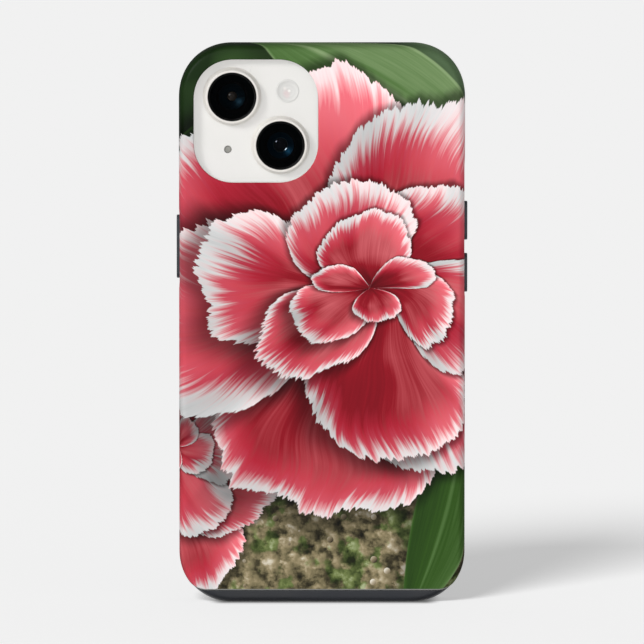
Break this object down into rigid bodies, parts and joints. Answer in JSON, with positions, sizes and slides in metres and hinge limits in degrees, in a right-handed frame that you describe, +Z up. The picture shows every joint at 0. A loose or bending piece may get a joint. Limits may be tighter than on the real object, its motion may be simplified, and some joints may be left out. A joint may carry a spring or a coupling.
{
  "type": "smartphone in a printed protective case",
  "caption": "Smartphone standing on its lower edge in a layered protective case with a printed hard shell, a dark rubber liner, push-button pads and a camera window.",
  "frame": {"origin": "middle of the case's lower edge, on the surface that it stands on", "axes": "+Z up along the phone's height, -Y out of the printed back and +Y out of the display, +X to the right seen from the printed back"},
  "size_m": [0.0786, 0.0118, 0.1515],
  "materials": {
    "printed_polycarbonate": "satin",
    "liner_rubber": "matte",
    "frame_aluminium": "satin anodised",
    "lens_ring_aluminium": "polished anodised",
    "white_back_glass": "gloss",
    "display_glass": "gloss",
    "lens_glass": "coated gloss",
    "flash_diffuser": "frosted",
    "microphone_mesh": "woven mesh",
    "steel_parts": "stamped",
    "black_plastic": "moulded",
    "circuit_board": "solder mask",
    "battery_wrap": "film",
    "copper_coil": "enamelled copper wire"
  },
  "bodies": {
    "phone_in_case": {"back_glass": "white_back_glass", "battery": "battery_wrap", "case_liner": "liner_rubber", "case_shell": "printed_polycarbonate", "charging_coil": "copper_coil", "charging_port_shell": "steel_parts", "charging_port_tongue": "black_plastic", "display_glass": "display_glass", "display_panel": "black_plastic", "earpiece": "black_plastic", "flash_lamp": "flash_diffuser", "flash_window": "flash_diffuser", "front_camera": "black_plastic", "left_bottom_screw": "steel_parts", "logic_board": "circuit_board", "loudspeaker": "black_plastic", "lower_camera_module": "black_plastic", "lower_lens_glass": "lens_glass", "lower_lens_ring": "lens_ring_aluminium", "magnet_ring": "steel_parts", "phone_frame": "frame_aluminium", "processor_package": "black_plastic", "radio_package": "black_plastic", "rear_microphone_mesh": "microphone_mesh", "right_bottom_screw": "steel_parts", "side_contact_switch": "steel_parts", "storage_package": "black_plastic", "upper_camera_module": "black_plastic", "upper_lens_glass": "lens_glass", "upper_lens_ring": "lens_ring_aluminium", "vibration_motor": "steel_parts", "volume_down_contact_switch": "steel_parts", "volume_up_contact_switch": "steel_parts"},
    "side_button": {"side_pad": "liner_rubber", "side_key": "frame_aluminium"},
    "volume_up_button": {"volume_up_pad": "liner_rubber", "volume_up_key": "frame_aluminium"},
    "volume_down_button": {"volume_down_pad": "liner_rubber", "volume_down_key": "frame_aluminium"},
    "ring_switch": {"ring_switch_slider": "frame_aluminium"}
  },
  "joints": [
    {"name": "side_press", "type": "slide", "parent": "phone_in_case", "child": "side_button", "axis": [1, 0, 0], "range_m": [0, 0.0003], "stiffness_N_per_m": 3000},
    {"name": "volume_up_press", "type": "slide", "parent": "phone_in_case", "child": "volume_up_button", "axis": [-1, 0, 0], "range_m": [0, 0.0003], "stiffness_N_per_m": 3000},
    {"name": "volume_down_press", "type": "slide", "parent": "phone_in_case", "child": "volume_down_button", "axis": [-1, 0, 0], "range_m": [0, 0.0003], "stiffness_N_per_m": 3000},
    {"name": "ring_switch_slide", "type": "slide", "parent": "phone_in_case", "child": "ring_switch", "axis": [0, 1, 0], "range_m": [0, 0.0012]}
  ]
}
